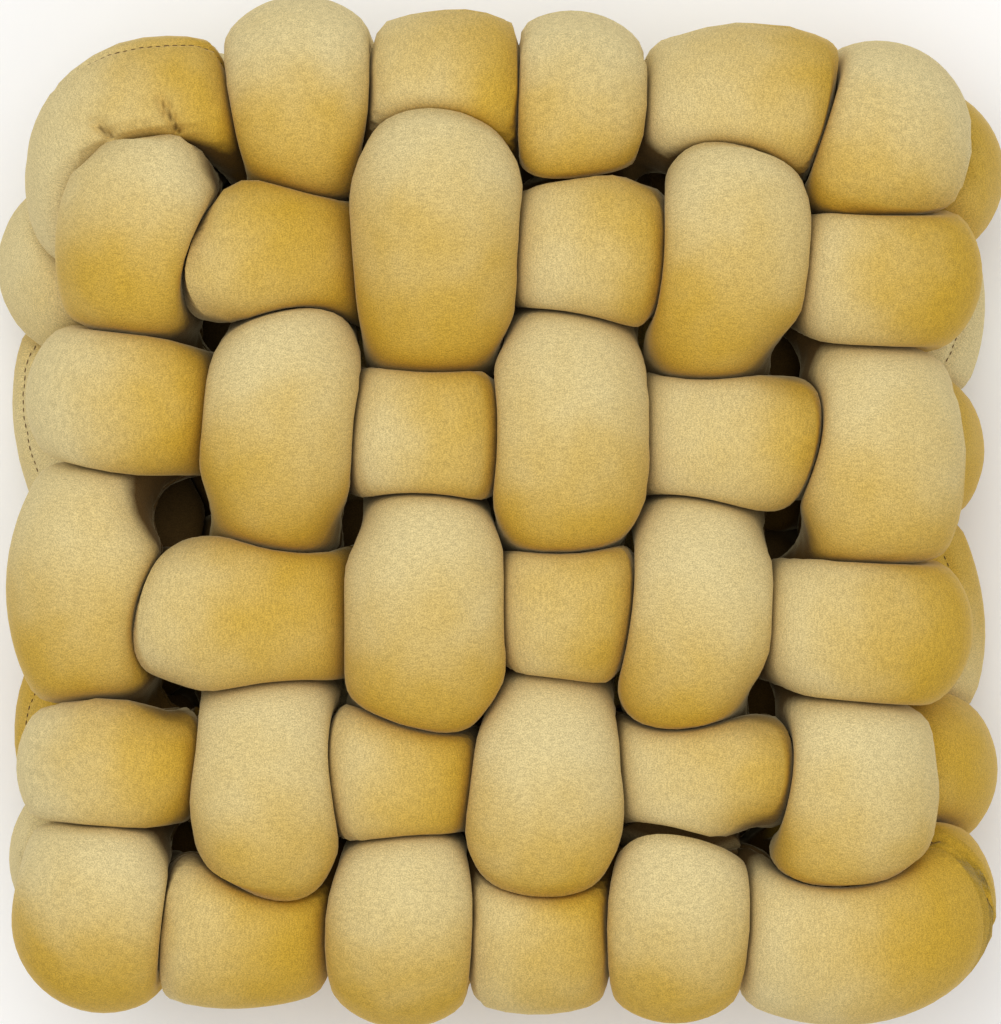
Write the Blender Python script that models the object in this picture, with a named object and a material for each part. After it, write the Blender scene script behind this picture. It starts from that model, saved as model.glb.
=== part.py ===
"""A knot cushion: one endless stuffed velvet tube, woven over and under itself into a square of two layers.

The tube's middle line is laid on the crossings of the weave, smoothed, and settled: stretches closer than the
filling lets them come push each other apart. At each station the tube is round, pressed flat where it meets
its neighbours and the floor, and swollen until its girth is the cloth's own again.

The cushion lies on its back: +Z comes out of its face, +Y is its upper edge.
"""

import math
from typing import NamedTuple

import bmesh
import bpy
import numpy as np
from mathutils import Vector
from mathutils.bvhtree import BVHTree

MM = 0.001

# The tube: the cloth's girth, and how far the filling can swell or shrink its round parts.
TUBE_GIRTH = 152 * MM
ROUND_RADIUS = TUBE_GIRTH / (2 * math.pi)
SWELLING = (0.90, 1.12)
FILL_EASING = 8 * MM
HALVINGS = 14
ROUNDING = 6.5
BEND_SHARE = 0.75
LEAST_REACH = 5 * MM
OPEN_REACH = 1.0
SKIN_GAP = 1.3 * MM
TINY = 1e-6

# How strongly each stretch swells against its neighbours: the stronger presses the weaker aside. An over swells
# more at its shoulders, and the lower the fullness, the sooner a stretch swells as it comes out from under.
UPRIGHT_OVER_SWELL = 27 * MM
LEVEL_OVER_SWELL = 24.5 * MM
UNDER_SWELL = 17 * MM
WRAP_SWELL = 21 * MM
UPRIGHT_SHOULDER_SWELL = 1.5 * MM
LEVEL_SHOULDER_SWELL = 0.5 * MM
FULLNESS = 0.3

# The two layers, as heights of their middles, and how far an over or an under stands off them.
FRONT_HEIGHT = 85 * MM
BACK_HEIGHT = 31 * MM
MIDDLE_HEIGHT = (FRONT_HEIGHT + BACK_HEIGHT) / 2
UPRIGHT_CRIMP = 17 * MM
LEVEL_CRIMP = 13 * MM
CROWN = 7 * MM
HALF_SIDE = 150 * MM

# Where the front's overs lie, as (x, y, lift, shoulder): each upright's from the top, left to right, then each
# level's from the left, top to bottom. Upright u is over level l where u + l is odd. The lift is how far an over
# stands proud, and its two shoulders, where it is fullest, lie that far before and behind its middle.
UPRIGHT_OVERS_MM = (
    ((-102, 84, 3, 5), (-116, -19, -2, 4), (-113, -117, 0, 4)),
    ((-57, 121, -1, 1), (-64, 27, 1, 12), (-68, -85, 0, 8)),
    ((-18, 82, 4, 13), (-21, -29, 1, 11), (-28, -121, 0, 3)),
    ((20, 120, -1, 1), (18, 20, 2, 6), (12, -85, 0, 3)),
    ((66, 75, 4, 4), (57, -34, 1, 3), (51, -123, -1, 2)),
    ((109, 106, -1, 2), (109, 9, -2, 3), (101, -83, -2, 2)),
)
LEVEL_OVERS_MM = (
    ((-105, 113, -1, 4), (-12, 117, -2, 9), (77, 114, -1, 6)),
    ((-84, 73, 5, 5), (32, 76, 0, 12), (110, 70, 1, 4)),
    ((-108, 33, 5, 4), (-17, 21, -1, 12), (72, 21, -1, 4)),
    ((-80, -30, 1, 13), (20, -28, -2, 9), (107, -35, 3, 4)),
    ((-113, -76, 2, 4), (-34, -78, 1, 2), (69, -77, -1, 3)),
    ((-84, -118, -1, 6), (9, -121, -2, 2), (101, -124, -1, 4)),
)
UPRIGHTS = len(UPRIGHT_OVERS_MM)
LEVELS = len(LEVEL_OVERS_MM)
BACK_UPRIGHTS = UPRIGHTS + 1
BACK_LINKS = LEVELS - 1

# How far out the middle line reaches where it wraps an edge: uprights from the left, levels from the top.
UPPER_REACH_MM = (112, 117, 114, 108, 114, 108)
LOWER_REACH_MM = (114, 114, 119, 114, 115, 114)
RIGHT_REACH_MM = (124, 111, 113, 109, 122)
LEFT_REACH_MM = (124, 107, 115, 106, 115)
EDGE_TUCK_MM = 12
OVER_WRAP_HEIGHT = 75 * MM
UNDER_WRAP_HEIGHT = 45 * MM

# The back: its inner uprights are evenly spread and slant a little, the outer two lie along the sides.
BACK_HALF_SPREAD = 112 * MM
BACK_SLANT = 5 * MM
SIDE_PLACE = 114 * MM
SIDE_HEIGHT = 38 * MM
SIDE_CRIMP = 12 * MM

# The two corners where the tube turns from upright to level and back.
UPPER_LEFT_TURN_MM = ((-113, 88, 68), (-110, 104, 86))
LOWER_RIGHT_TURN_MM = ((119, -115, 78), (117, -98, 56))

# Settling: how firmly a stretch keeps its laid place, and how near two strands' middles come, as a share of their
# swells.
LOOSE, HALF_HELD, HELD = 0.04, 0.4, 0.7
CLOSEST_SHARE = 0.58
LAID_EVENNESS = 0.75
PER_SPAN = 20
STATION_STEP = 8 * MM
PER_STATION = 8
NEIGHBOUR_STEP = 4 * MM
OWN_REACH = 58 * MM
TOUCHING_REACH = 58 * MM
SETTLING_ROUNDS = 60
PUSH = 0.9
STIFFNESS = 0.4
STIFF_WIDTH = 1.4
KINK_WIDTH = 1.5
FLOOR_STANDOFF = 17 * MM

# The mesh: fine rings, turned to face out of the cushion and drawn in where the tube would touch itself, then
# thinned to the triangles its shape needs. Points this near the floor lie on it.
RINGS = 1080
SIDES = 24
TRIANGLES = 11900
OUTWARD_WEIGHTS = (0.25, 0.25, 1)
OUTWARD_EASING = 48 * MM
CLEARANCE = 1.5 * MM
PARTING_ROUNDS = 60
PARTING_SHARE = 0.03
FLOOR_SNAP = 0.3 * MM


class Stop(NamedTuple):
    """One laid point of the middle line, how firmly it is held and how strongly the tube swells there."""

    point: tuple[float, float, float]
    hold: float
    swell: float


def height_in(layer, crimp, over):
    """The height of a strand that is over, or under, in a layer."""
    return layer + (crimp if over else -crimp)


def crown(x, y):
    """How much the front face rises towards its middle."""
    return CROWN * (1 - (x / HALF_SIDE) ** 2) * (1 - (y / HALF_SIDE) ** 2)


def beside(overs, place):
    """The middle of the overs on either side of this crossing, or the last over at a row's end."""
    near = [p for p in (place - 1, place + 1) if 0 <= p < 2 * len(overs)]
    return np.mean([overs[p // 2] for p in near], axis=0)


def tuck(number, count):
    """How far the first and last strand of a set move inwards under a wrap: the first down, the last up."""
    return {0: -EDGE_TUCK_MM, count - 1: EDGE_TUCK_MM}.get(number, 0)


def front_stop(upright, level, is_upright):
    """Where a front upright and a front level cross, on the strand asked for."""
    upright_over = (upright + level) % 2 == 1
    over = upright_over == is_upright
    if upright_over:
        x, y, lift = UPRIGHT_OVERS_MM[upright][level // 2][:3]
        y = y if is_upright else beside(LEVEL_OVERS_MM[level], upright)[1] + tuck(level, LEVELS)
    else:
        x, y, lift = LEVEL_OVERS_MM[level][upright // 2][:3]
        x = beside(UPRIGHT_OVERS_MM[upright], level)[0] - tuck(upright, UPRIGHTS) if is_upright else x
    x, y, lift = x * MM, y * MM, lift * MM
    crimp = UPRIGHT_CRIMP if is_upright else LEVEL_CRIMP
    height = height_in(FRONT_HEIGHT + crown(x, y), crimp, over)
    if not over:
        return Stop((x, y, height), LOOSE, UNDER_SWELL)
    return Stop((x, y, height + lift), HELD, lift + (UPRIGHT_OVER_SWELL if is_upright else LEVEL_OVER_SWELL))


def crossing(upright, level, is_upright):
    """The stops of a front crossing: one where the strand is under, and two where it is over, at its shoulders."""
    stop = front_stop(upright, level, is_upright)
    if stop.hold != HELD:
        return [stop]
    over = UPRIGHT_OVERS_MM[upright][level // 2] if is_upright else LEVEL_OVERS_MM[level][upright // 2]
    shoulder = over[3] * MM
    step = (0, -shoulder) if is_upright else (shoulder, 0)
    swell = stop.swell + (UPRIGHT_SHOULDER_SWELL if is_upright else LEVEL_SHOULDER_SWELL)
    x, y, z = stop.point
    return [Stop((x + side * step[0], y + side * step[1], z), HELD, swell) for side in (-1, 1)]


def back_stop(place, link, is_upright):
    """The same on the back. Places count its uprights from the left, links its levels from the top."""
    outside = ((place + link) % 2 == 1) == is_upright
    from_right = (BACK_UPRIGHTS - place) / (BACK_UPRIGHTS + 1)
    right_end = front_stop(UPRIGHTS - 1, link, False).point[1]
    left_end = front_stop(0, link + 1, False).point[1]
    y = right_end * (1 - from_right) + left_end * from_right
    crimp = UPRIGHT_CRIMP if is_upright else LEVEL_CRIMP
    swell = WRAP_SWELL if outside else UNDER_SWELL
    if 0 < place < BACK_UPRIGHTS - 1:
        even = 2 * place / (BACK_UPRIGHTS - 1) - 1
        drop = 2 * link / (BACK_LINKS - 1) - 1
        x = BACK_HALF_SPREAD * even + BACK_SLANT * drop
        return Stop((x, y, height_in(BACK_HEIGHT, crimp, not outside)), LOOSE, swell)
    side = -1 if place == 0 else 1
    lean = (SIDE_CRIMP if outside else -SIDE_CRIMP) * math.sqrt(0.5)
    return Stop((side * (SIDE_PLACE + lean), y, SIDE_HEIGHT - lean), HALF_HELD, swell)


def wrap_height(over):
    """How high a pass turns round an edge: a strand that is over on the front turns higher."""
    return OVER_WRAP_HEIGHT if over else UNDER_WRAP_HEIGHT


def upright_wrap(upright, edge):
    """Where an upright turns round the upper edge (1) or the lower edge (-1)."""
    level, reach = (0, UPPER_REACH_MM) if edge > 0 else (LEVELS - 1, LOWER_REACH_MM)
    x = front_stop(upright, level, True).point[0]
    over = (upright + level) % 2 == 1
    return Stop((x, edge * reach[upright] * MM, wrap_height(over)), HALF_HELD, WRAP_SWELL)


def level_wrap(level, side):
    """Where a level turns round the right edge (1) or the left edge (-1)."""
    upright, reach = (UPRIGHTS - 1, RIGHT_REACH_MM[level]) if side > 0 else (0, LEFT_REACH_MM[level - 1])
    y = front_stop(upright, level, False).point[1]
    over = (upright + level) % 2 == 0
    return Stop((side * reach * MM, y, wrap_height(over)), HALF_HELD, WRAP_SWELL)


def corner(points_mm):
    """The stops of a corner turn."""
    return [Stop(tuple(value * MM for value in point), HELD, WRAP_SWELL) for point in points_mm]


def woven_stops():
    """The whole strand as it is woven: the uprights from right to left, then the levels downwards."""
    stops = []
    for upright in reversed(range(UPRIGHTS)):
        for level in range(LEVELS):
            stops += crossing(upright, level, True)
        stops.append(upright_wrap(upright, -1))
        stops += [back_stop(upright, link, True) for link in reversed(range(BACK_LINKS))]
        if upright > 0:
            stops.append(upright_wrap(upright - 1, 1))
    stops += corner(UPPER_LEFT_TURN_MM)
    for level in range(LEVELS):
        for upright in range(UPRIGHTS):
            stops += crossing(upright, level, False)
        if level < LEVELS - 1:
            stops.append(level_wrap(level, 1))
            stops += [back_stop(place, level, False) for place in reversed(range(BACK_UPRIGHTS))]
            stops.append(level_wrap(level + 1, -1))
    stops += corner(LOWER_RIGHT_TURN_MM)
    stops += [back_stop(BACK_UPRIGHTS - 1, link, True) for link in reversed(range(BACK_LINKS))]
    stops.append(upright_wrap(UPRIGHTS - 1, 1))
    return stops


def closed_spline(rows, evenness, per_span):
    """Points along the smooth closed cubic through these rows, whose first three columns are a place."""
    spans = np.linalg.norm(np.roll(rows, -1, axis=0)[:, :3] - rows[:, :3], axis=1) ** evenness
    ahead = np.roll(rows, -1, axis=0) - rows
    count = len(rows)
    system = np.zeros((count, count))
    right = np.zeros(rows.shape)
    for i in range(count):
        before, after = spans[i - 1], spans[i]
        system[i, i - 1] = after
        system[i, i] = 2 * (before + after)
        system[i, (i + 1) % count] = before
        right[i] = 3 * (after / before * ahead[i - 1] + before / after * ahead[i])
    slopes = np.linalg.solve(system, right) * spans[:, None]
    arrivals = np.roll(np.linalg.solve(system, right), -1, axis=0) * spans[:, None]
    t = np.linspace(0, 1, per_span, endpoint=False)[None, :, None]
    ends = rows[:, None], np.roll(rows, -1, axis=0)[:, None]
    curve = (2 * t**3 - 3 * t**2 + 1) * ends[0] + (3 * t**2 - 2 * t**3) * ends[1]
    curve = curve + (t**3 - 2 * t**2 + t) * slopes[:, None] + (t**3 - t**2) * arrivals[:, None]
    return curve.reshape(count * per_span, -1)


def evenly_spaced(rows, count):
    """A closed run of rows, whose first three columns are a place, made evenly spaced along its length."""
    closed = np.vstack([rows, rows[:1]])
    along = np.concatenate([[0], np.cumsum(np.linalg.norm(np.diff(closed[:, :3], axis=0), axis=1))])
    at = np.linspace(0, along[-1], count, endpoint=False)
    return np.stack([np.interp(at, along, column) for column in closed.T], axis=1)


def length_of(points):
    """The length of a closed run of points."""
    return np.linalg.norm(np.roll(points, -1, axis=0) - points, axis=1).sum()


def eased(values, width):
    """A closed run of values smoothed by a bell curve, whose width is given in stations."""
    offsets = np.arange(-math.ceil(3 * width), math.ceil(3 * width) + 1)
    weights = np.exp(-0.5 * (offsets / width) ** 2)
    return sum(w * np.roll(values, o, axis=0) for w, o in zip(weights / weights.sum(), offsets, strict=True))


def middle_line():
    """The settled strand: a row of x, y, z and swell at each millimetre or so."""
    stops = woven_stops()
    rows = np.array([(*stop.point, stop.swell, stop.hold) for stop in stops])
    curve = closed_spline(rows, LAID_EVENNESS, PER_SPAN)
    strand = evenly_spaced(curve, round(length_of(curve[:, :3]) / STATION_STEP))
    points, swells, holds = strand[:, :3], strand[:, 3], strand[:, 4:]
    home = points.copy()
    apart = np.abs(np.arange(len(points))[:, None] - np.arange(len(points))[None, :])
    own = np.minimum(apart, len(points) - apart) * STATION_STEP < OWN_REACH
    closest = CLOSEST_SHARE * (swells[:, None] + swells[None, :])
    for _ in range(SETTLING_ROUNDS):
        offsets = points[:, None, :] - points[None, :, :]
        distances = np.sqrt((offsets**2).sum(axis=2)) + 1e-9
        push = np.where(own | (distances > closest), 0, closest / distances - 1)
        crowd = np.maximum(1, (push > 0).sum(axis=1))
        points = points + PUSH * (push[:, :, None] * offsets).sum(axis=1) / crowd[:, None]
        points += holds * (home - points)
        points += STIFFNESS * (eased(points, STIFF_WIDTH) - points)
        points[:, 2] = np.maximum(points[:, 2], FLOOR_STANDOFF)
    once = eased(points, KINK_WIDTH)
    full = UPRIGHT_OVER_SWELL - UNDER_SWELL
    share = np.maximum(swells - UNDER_SWELL, TINY) / full
    settled = np.hstack([2 * once - eased(once, KINK_WIDTH), (UNDER_SWELL + full * share**FULLNESS)[:, None]])
    return closed_spline(settled, 1, PER_STATION)


def soft_least(*limits):
    """The least of these lengths, rounded where two of them are close."""
    return sum(limit**-ROUNDING for limit in limits) ** (-1 / ROUNDING)


def pressed_reach(centre, swell, rays, strand, near):
    """How far each ray goes before it meets a neighbouring strand, whose stations are given in order."""
    to_point = strand[near, :3] - centre
    towards = rays @ to_point.T
    power = np.maximum((to_point**2).sum(axis=1) + swell**2 - strand[near, 3] ** 2, 0)
    reach = np.where(towards > TINY, power / (2 * np.maximum(towards, TINY)), OPEN_REACH)
    runs = np.flatnonzero(np.diff(near, prepend=-9) > 1)
    return soft_least(*np.maximum(np.minimum.reduceat(reach, runs, axis=1), LEAST_REACH).T)


def cross_sections(strand, rings, sides):
    """The rings' centres, their rays across the tube, and how far each ray may go."""
    whole = length_of(strand[:, :3])
    step = whole / rings
    stations = evenly_spaced(strand, rings)
    centres = stations[:, :3]
    before, after = np.roll(centres, 1, axis=0), np.roll(centres, -1, axis=0)
    tangents = (after - before) / np.linalg.norm(after - before, axis=1)[:, None]
    outward = eased((centres - (0, 0, MIDDLE_HEIGHT)) * OUTWARD_WEIGHTS, OUTWARD_EASING / step)
    first = outward - (outward * tangents).sum(axis=1)[:, None] * tangents
    first /= np.linalg.norm(first, axis=1)[:, None]
    turns = (np.arange(sides)[None, :, None] + 0.5) * 2 * math.pi / sides
    rays = np.cos(turns) * first[:, None, :] + np.sin(turns) * np.cross(tangents, first)[:, None, :]
    neighbours = evenly_spaced(strand, round(whole / NEIGHBOUR_STEP))
    places = np.arange(len(neighbours)) * whole / len(neighbours)
    limits = np.full((rings, sides), OPEN_REACH)
    for i, centre in enumerate(centres):
        gap = np.abs(places - i * step)
        far_along = np.minimum(gap, whole - gap) > OWN_REACH
        close_by = ((neighbours[:, :3] - centre) ** 2).sum(axis=1) < TOUCHING_REACH**2
        near = np.flatnonzero(far_along & close_by)
        if len(near):
            limits[i] = pressed_reach(centre, stations[i, 3], rays[i], neighbours, near)
    bends = np.einsum("ijk,ik->ij", rays, (after + before - 2 * centres) / step**2)
    inner = np.where(bends > TINY, BEND_SHARE / np.maximum(bends, TINY), OPEN_REACH)
    return centres, rays, np.maximum(soft_least(limits, inner), LEAST_REACH) - SKIN_GAP


def filled_reach(limits, step):
    """How far each ray goes once the free parts have swollen to the cloth's girth."""
    rings, sides = limits.shape
    slack, tight = (np.full(rings, share * ROUND_RADIUS) for share in SWELLING)
    for _ in range(HALVINGS):
        middle = (slack + tight) / 2
        reach = soft_least(limits, middle[:, None])
        beside = np.roll(reach, -1, axis=1)
        girth = np.sqrt(reach**2 + beside**2 - 2 * reach * beside * math.cos(2 * math.pi / sides)).sum(axis=1)
        slack = np.where(girth < TUBE_GIRTH, middle, slack)
        tight = np.where(girth < TUBE_GIRTH, tight, middle)
    return soft_least(limits, eased((slack + tight) / 2, FILL_EASING / step)[:, None])


def on_the_floor(centres, rays, reach):
    """The surface that these rays reach, pressed flat where it rests on the floor."""
    down = -rays[:, :, 2]
    floor = np.where(down > TINY, centres[:, 2:3] / np.maximum(down, TINY), OPEN_REACH)
    return centres[:, None, :] + np.minimum(reach, floor)[:, :, None] * rays


def ring_faces(rings, sides):
    """The tube's triangles as rows of three point numbers."""
    ring, side = np.divmod(np.arange(rings * sides), sides)
    after, beyond = (ring + 1) % rings * sides, (side + 1) % sides
    near = np.stack([ring * sides + side, ring * sides + beyond, after + beyond], axis=1)
    far = np.stack([ring * sides + side, after + beyond, after + side], axis=1)
    return np.vstack([near, far])


def clear_of_itself(centres, rays, reach):
    """The same reach, drawn in bit by bit wherever the tube would come within the clearance of itself."""
    rings, sides = reach.shape
    faces = ring_faces(rings, sides)
    for _ in range(PARTING_ROUNDS):
        surface = on_the_floor(centres, rays, reach + CLEARANCE).reshape(-1, 3)
        tree = BVHTree.FromPolygons(surface.tolist(), faces.tolist())
        pairs = np.array(tree.overlap(tree), int).reshape(-1, 2)
        first, second = faces[pairs[:, 0]], faces[pairs[:, 1]]
        shared = (first[:, :, None] == second[:, None, :]).any(axis=(1, 2))
        if shared.all():
            break
        crowded = np.unique([first[~shared], second[~shared]])
        reach.ravel()[crowded] *= 1 - PARTING_SHARE
    return reach


def tube_surface(strand, rings, sides):
    """The tube's surface, as an array of rings by sides of points."""
    centres, rays, limits = cross_sections(strand, rings, sides)
    reach = filled_reach(limits, length_of(strand[:, :3]) / rings)
    return on_the_floor(centres, rays, clear_of_itself(centres, rays, reach))


def tube_mesh(surface, name):
    """The closed mesh of the rings."""
    rings, sides, _ = surface.shape
    tube = bmesh.new()
    points = [tube.verts.new(point) for point in surface.reshape(-1, 3)]
    for corners in ring_faces(rings, sides):
        tube.faces.new([points[corner] for corner in corners])
    bmesh.ops.recalc_face_normals(tube, faces=tube.faces)
    mesh = bpy.data.meshes.new(name)
    tube.to_mesh(mesh)
    tube.free()
    return mesh


def velvet():
    """The tube's cloth."""
    material = bpy.data.materials.new("velvet")
    material.use_nodes = True
    shader = material.node_tree.nodes["Principled BSDF"]
    shader.inputs["Base Color"].default_value = (0.62, 0.43, 0.11, 1)
    shader.inputs["Roughness"].default_value = 0.9
    return material


def thinned(tube):
    """The object's mesh with fewer, larger triangles where it is plain, centred and flat on the floor."""
    fewer = tube.modifiers.new("fewer", "DECIMATE")
    fewer.ratio = TRIANGLES / len(tube.data.polygons)
    mesh = bpy.data.meshes.new_from_object(tube.evaluated_get(bpy.context.evaluated_depsgraph_get()))
    tube.modifiers.remove(fewer)
    places = np.array([vert.co for vert in mesh.vertices])
    middle = (places.min(axis=0) + places.max(axis=0)) / 2
    for vert in mesh.vertices:
        vert.co -= Vector((middle[0], middle[1], vert.co.z if vert.co.z < FLOOR_SNAP else 0))
    return mesh


def main():
    """Clears the scene and builds the cushion."""
    for obj in list(bpy.data.objects):
        bpy.data.objects.remove(obj, do_unlink=True)
    mesh = tube_mesh(tube_surface(middle_line(), RINGS, SIDES), "woven_tube")
    tube = bpy.data.objects.new("woven_tube", mesh)
    parts = bpy.data.collections.new("knot_cushion")
    bpy.context.scene.collection.children.link(parts)
    parts.objects.link(tube)
    tube.data = thinned(tube)
    tube.data.shade_smooth()
    tube.data.materials.append(velvet())


if __name__ == "__main__":
    main()
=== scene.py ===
"""The looks of the knot cushion: one endless stuffed velvet tube, woven over and under itself in two layers.

The tube is laid, settled and filled as the solid is, in far finer rings, and gets what the solid leaves out: the
open gaps between its overs, the sewn seam with its puckers and stitches, two sharp creases, and the velvet itself.
"""

import logging
import math
from dataclasses import dataclass, field
from enum import Enum
from typing import NamedTuple

import bmesh
import bpy
import numpy as np
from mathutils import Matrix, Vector
from mathutils.bvhtree import BVHTree

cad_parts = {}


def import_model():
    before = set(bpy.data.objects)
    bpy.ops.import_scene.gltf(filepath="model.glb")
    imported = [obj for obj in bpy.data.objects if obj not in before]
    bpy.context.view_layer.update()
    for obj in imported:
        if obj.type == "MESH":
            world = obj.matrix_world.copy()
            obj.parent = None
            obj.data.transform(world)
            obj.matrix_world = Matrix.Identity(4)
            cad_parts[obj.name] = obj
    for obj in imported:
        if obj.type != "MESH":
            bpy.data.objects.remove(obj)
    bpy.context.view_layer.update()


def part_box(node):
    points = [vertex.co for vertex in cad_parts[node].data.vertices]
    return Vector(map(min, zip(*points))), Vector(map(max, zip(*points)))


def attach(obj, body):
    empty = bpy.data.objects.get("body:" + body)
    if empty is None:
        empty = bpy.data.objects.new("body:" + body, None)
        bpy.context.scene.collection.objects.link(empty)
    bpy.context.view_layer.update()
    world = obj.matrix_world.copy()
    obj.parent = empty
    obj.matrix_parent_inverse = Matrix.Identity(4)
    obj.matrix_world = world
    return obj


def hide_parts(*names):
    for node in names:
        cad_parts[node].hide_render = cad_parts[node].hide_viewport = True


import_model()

LOG = logging.getLogger("knot_cushion")
MM = 0.001
TINY = 1e-6
BELL_REACH = 3  # how many of its widths a bell curve is reckoned to reach
STITCH_BALL = {"Segments": 6, "Rings": 4, "Radius": 1.0}
STITCH_UNEVENNESS = {"Min": 0.85, "Max": 1.1}
NODE = "woven_tube"
BODY = "root"
Triple = tuple[float, float, float]
Over = tuple[float, float, float, float]


class Run(Enum):
    """Which way a stretch of the tube runs on the faces."""

    UPRIGHT = "upright"
    LEVEL = "level"


class Edge(Enum):
    """An edge that the tube wraps, by the way out to it."""

    UPPER = (0, 1)
    LOWER = (0, -1)
    RIGHT = (1, 0)
    LEFT = (-1, 0)


class Stop(NamedTuple):
    """One laid point of the tube's middle line.

    Attributes:
        point: Where it lies.
        hold: How firmly it keeps that place while the tube settles.
        swell: How strongly the tube swells there against its neighbours.
        seam: The way that the sewn seam faces.
    """

    point: Triple
    hold: float
    swell: float
    seam: Triple


@dataclass(frozen=True)
class Weave:
    """The route of the tube: six uprights and six levels on the front, seven uprights and five levels behind.

    Attributes:
        upright_overs_mm: For each upright from the left, its overs from the top: x, y, lift, and how far from
            there its two shoulders lie.
        level_overs_mm: For each level from the top, its overs from the left, the same.
        upper_reach_mm: How far out each upright turns round the upper edge. The other edges' are like it, but that
            the first level starts at a corner and has no turn on the left.
        gaps_mm: Where the front stays open between four overs: x, y and the gap's radius.
    """

    uprights: int = 6
    levels: int = 6
    back_uprights: int = 7
    back_links: int = 5
    front_height: float = 85 * MM
    back_height: float = 31 * MM
    upright_crimp: float = 17 * MM
    level_crimp: float = 13 * MM
    crown_rise: float = 7 * MM
    half_side: float = 150 * MM
    upright_overs_mm: tuple[tuple[Over, ...], ...] = (
        ((-99.5, 82.5, 4, 5), (-116, -19, -2, 4), (-113, -117, 0, 4)),
        ((-57.5, 121, 0.5, 2), (-64, 27, 1, 12), (-68, -85, 0, 8)),
        ((-18, 82, 4, 13), (-21, -29, 1, 11), (-28, -121, 0, 3)),
        ((20, 120, -1, 1), (18, 20, 2, 6), (12, -85, 0, 3)),
        ((66, 75, 4, 4), (57, -34, 1, 3), (51, -123, -1, 2)),
        ((109, 106, -1, 2), (109, 9, -2, 3), (101, -83, -2, 2)),
    )
    level_overs_mm: tuple[tuple[Over, ...], ...] = (
        ((-101, 110, 0, 4), (-12, 117, -2, 9), (77, 114, -1, 6)),
        ((-82, 73, 5, 8), (32, 76, 0, 12), (110, 70, 1, 4)),
        ((-108, 33, 5, 4), (-17, 21, -1, 12), (72, 21, -1, 4)),
        ((-80, -30, 1, 13), (20, -28, -2, 9), (107, -35, 3, 4)),
        ((-113, -76, 2, 4), (-34, -78, 1, 2), (69, -77, -1, 3)),
        ((-84, -118, -1, 6), (9, -121, -2, 2), (101, -124, -1, 4)),
    )
    upper_reach_mm: tuple[float, ...] = (112, 117, 114, 108, 114, 108)
    lower_reach_mm: tuple[float, ...] = (114, 114, 119, 114, 115, 114)
    right_reach_mm: tuple[float, ...] = (124, 111, 113, 109, 122)
    left_reach_mm: tuple[float, ...] = (124, 107, 115, 106, 115)
    edge_tuck_mm: float = 12
    gaps_mm: tuple[Triple, ...] = (
        (-81.5, 97, 0.2), (-85, 51, 3), (-93, 0, 8), (-97, -54.5, 3.5), (-93, -96, 3), (-43.5, -4, 2.5),
        (44, 97, 2.5), (84, 44, 4.5), (83, -7, 5), (77, -55, 4), (75, -96, 3),
    )
    over_wrap_height: float = 75 * MM
    under_wrap_height: float = 45 * MM
    back_half_spread: float = 112 * MM
    back_slant: float = 5 * MM
    side_place: float = 114 * MM
    side_height: float = 38 * MM
    side_crimp: float = 12 * MM
    upper_left_turn_mm: tuple[Triple, Triple] = ((-113, 87, 68), (-111, 101, 86))
    lower_right_turn_mm: tuple[Triple, Triple] = ((120, -118, 81), (116, -109, 53))
    loose: float = 0.04
    half_held: float = 0.4
    held: float = 0.7
    upright_over_swell: float = 27 * MM
    level_over_swell: float = 24.5 * MM
    under_swell: float = 17 * MM
    wrap_swell: float = 21 * MM
    upright_shoulder_swell: float = 1.5 * MM
    level_shoulder_swell: float = 0.5 * MM
    upright_seam: Triple = (1, 0, 0.15)
    level_seam: Triple = (0, 1, 0.2)
    corner_level_seam: Triple = (0, 1, 0.6)
    back_upright_seam: Triple = (1, 0, -0.2)
    side_seams: tuple[Triple, Triple] = ((-1, 0, 0.6), (1, 0, 1))
    upper_left_seams: tuple[Triple, Triple] = ((-1, 0.4, 0.6), (-0.6, 1, 0.6))
    lower_right_seams: tuple[Triple, Triple] = ((0.3, 0.2, -1), (1, -0.3, -0.5))

    def crown(self, x: float, y: float) -> float:
        """How much the front rises above this point, most in the middle of the face."""
        return self.crown_rise * (1 - (x / self.half_side) ** 2) * (1 - (y / self.half_side) ** 2)

    def crimp(self, run: Run) -> float:
        """How far a stretch stands off the middle of its layer."""
        return self.upright_crimp if run is Run.UPRIGHT else self.level_crimp

    def tuck(self, number: int, count: int) -> float:
        """How far the first and last strand of a set move inwards under a wrap: the first down, the last up."""
        return {0: -self.edge_tuck_mm, count - 1: self.edge_tuck_mm}.get(number, 0)

    def front_stop(self, upright: int, level: int, run: Run) -> Stop:
        """Where a front upright and a front level cross.

        Args:
            upright: The upright, counted from the left.
            level: The level, counted from the top.
            run: Which of the two strands the stop is on.

        Returns:
            The stop on that strand.
        """
        upright_over = (upright + level) % 2 == 1
        over = upright_over == (run is Run.UPRIGHT)
        if upright_over:
            x, y, lift = self.upright_overs_mm[upright][level // 2][:3]
            if run is Run.LEVEL:
                y = beside(self.level_overs_mm[level], upright)[1] + self.tuck(level, self.levels)
        else:
            x, y, lift = self.level_overs_mm[level][upright // 2][:3]
            if run is Run.UPRIGHT:
                x = beside(self.upright_overs_mm[upright], level)[0] - self.tuck(upright, self.uprights)
        x, y, lift = x * MM, y * MM, lift * MM
        height = self.front_height + self.crown(x, y) + (self.crimp(run) if over else -self.crimp(run))
        seam = self.upright_seam if run is Run.UPRIGHT else self.level_seam
        if run is Run.LEVEL and upright == level == 0:
            seam = self.corner_level_seam
        if not over:
            return Stop((x, y, height), self.loose, self.under_swell, seam)
        swell = lift + (self.upright_over_swell if run is Run.UPRIGHT else self.level_over_swell)
        return Stop((x, y, height + lift), self.held, swell, seam)

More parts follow.
